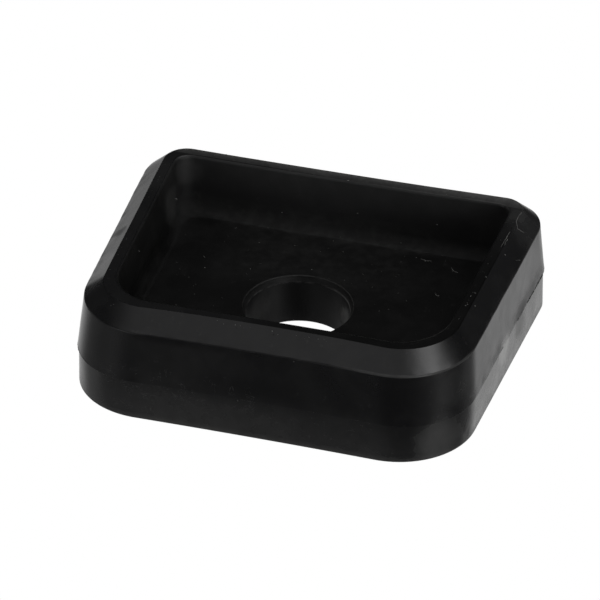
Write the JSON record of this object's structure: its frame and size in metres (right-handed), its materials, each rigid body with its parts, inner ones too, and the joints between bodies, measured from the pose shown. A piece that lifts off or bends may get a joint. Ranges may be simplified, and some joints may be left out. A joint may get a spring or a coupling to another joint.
{
  "type": "rubber foot",
  "caption": "Rounded rectangular rubber foot with a chamfered rim, a flat-bottomed recess and a screw hole through its floor.",
  "frame": {"origin": "middle of the plan, on the flat face", "axes": "+X along the length, +Y towards the side with the two tighter corners, +Z from the flat face up to the open rim"},
  "size_m": [0.04, 0.033, 0.0112],
  "materials": {
    "rubber": "moulded black rubber with a soft sheen, a little dusty and scuffed"
  },
  "bodies": {
    "root": {"foot": "rubber"}
  },
  "joints": []
}
